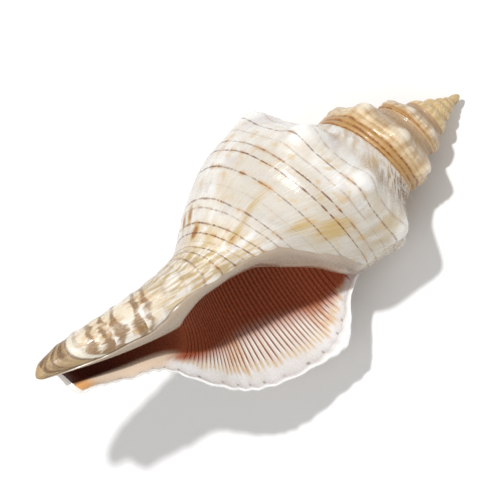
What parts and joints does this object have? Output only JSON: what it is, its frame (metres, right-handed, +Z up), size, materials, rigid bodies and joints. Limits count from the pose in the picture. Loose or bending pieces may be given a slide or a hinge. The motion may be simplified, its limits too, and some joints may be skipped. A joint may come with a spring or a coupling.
{
  "type": "conch shell",
  "caption": "Empty conch shell with a knobbed coiled spire, a flared open mouth and a long open canal, lying on its back.",
  "frame": {"origin": "centre of the bounding box's base, on the surface that the shell lies on", "axes": "+X along the shell's length towards the apex of the spire, +Z up, the mouth opening up and towards -Y"},
  "size_m": [0.163, 0.079, 0.0827],
  "materials": {
    "shell": "glossy natural shell, cream with tan bands and fine brown spiral lines, dark orange-brown inside the mouth"
  },
  "bodies": {
    "root": {"shell": "shell"}
  },
  "joints": []
}
